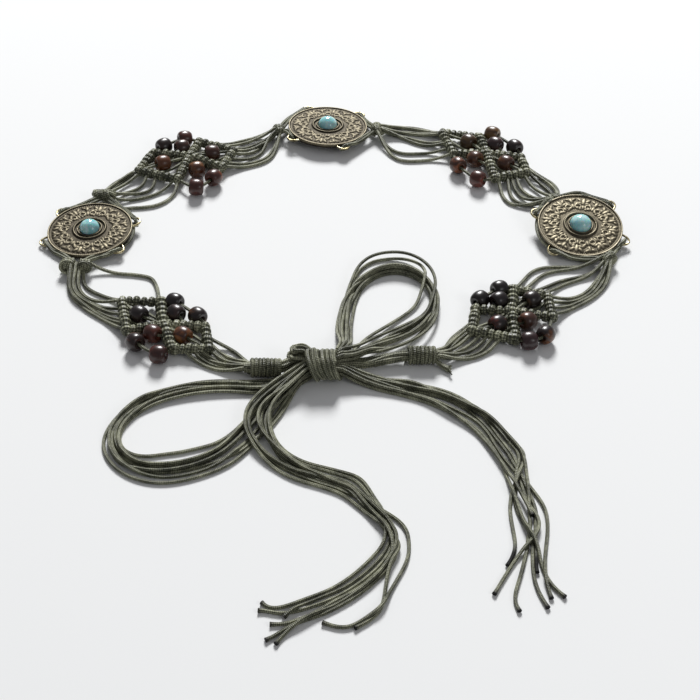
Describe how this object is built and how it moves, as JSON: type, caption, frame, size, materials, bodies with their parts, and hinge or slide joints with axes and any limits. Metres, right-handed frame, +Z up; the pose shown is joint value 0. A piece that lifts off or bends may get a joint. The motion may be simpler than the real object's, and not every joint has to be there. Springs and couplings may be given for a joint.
{
  "type": "boho tie belt",
  "caption": "Macrame tie belt of waxed cord with cast medallions, turquoise domes and wooden beads, tied in a bow and laid out as one loop on a flat surface.",
  "frame": {"origin": "on the surface, under the middle of the belt's loop without its bow loops and tie ends", "axes": "+Z up from the surface, +Y from the bow to the medallion opposite it, +X to the right as seen from the bow"},
  "size_m": [0.3308, 0.4304, 0.016],
  "materials": {
    "cord": "waxed olive cotton cord",
    "wood": "dark stained and polished",
    "bronze": "cast, antiqued",
    "turquoise": "polished resin dome"
  },
  "bodies": {
    "root": {"medallion_left": "bronze", "turquoise_left": "turquoise", "medallion_right": "bronze", "turquoise_right": "turquoise", "medallion_back": "bronze", "turquoise_back": "turquoise", "panel_front_left": "cord", "panel_back_right": "cord", "panel_back_left": "cord", "panel_front_right": "cord", "lashing_left_upper": "cord", "lashing_left_lower": "cord", "lashing_right_upper": "cord", "lashing_right_lower": "cord", "lashing_back_left": "cord", "lashing_back_right": "cord", "span_wrap_left": "cord", "span_wrap_right": "cord", "wrap_left": "cord", "wrap_right": "cord", "bow_knot": "cord", "bow_loop_right": "cord", "bow_loop_left": "cord", "tie_end_left": "cord", "tie_end_right": "cord", "bead_front_left_1": "wood", "bead_front_left_2": "wood", "bead_front_left_3": "wood", "bead_front_left_4": "wood", "bead_front_left_5": "wood", "bead_front_left_6": "wood", "bead_front_left_7": "wood", "bead_front_left_8": "wood", "bead_back_right_1": "wood", "bead_back_right_2": "wood", "bead_back_right_3": "wood", "bead_back_right_4": "wood", "bead_back_right_5": "wood", "bead_back_right_6": "wood", "bead_back_right_7": "wood", "bead_back_right_8": "wood", "bead_back_left_1": "wood", "bead_back_left_2": "wood", "bead_back_left_3": "wood", "bead_back_left_4": "wood", "bead_back_left_5": "wood", "bead_back_left_6": "wood", "bead_back_left_7": "wood", "bead_back_left_8": "wood", "bead_front_right_1": "wood", "bead_front_right_2": "wood", "bead_front_right_3": "wood", "bead_front_right_4": "wood", "bead_front_right_5": "wood", "bead_front_right_6": "wood", "bead_front_right_7": "wood", "bead_front_right_8": "wood"}
  },
  "joints": []
}
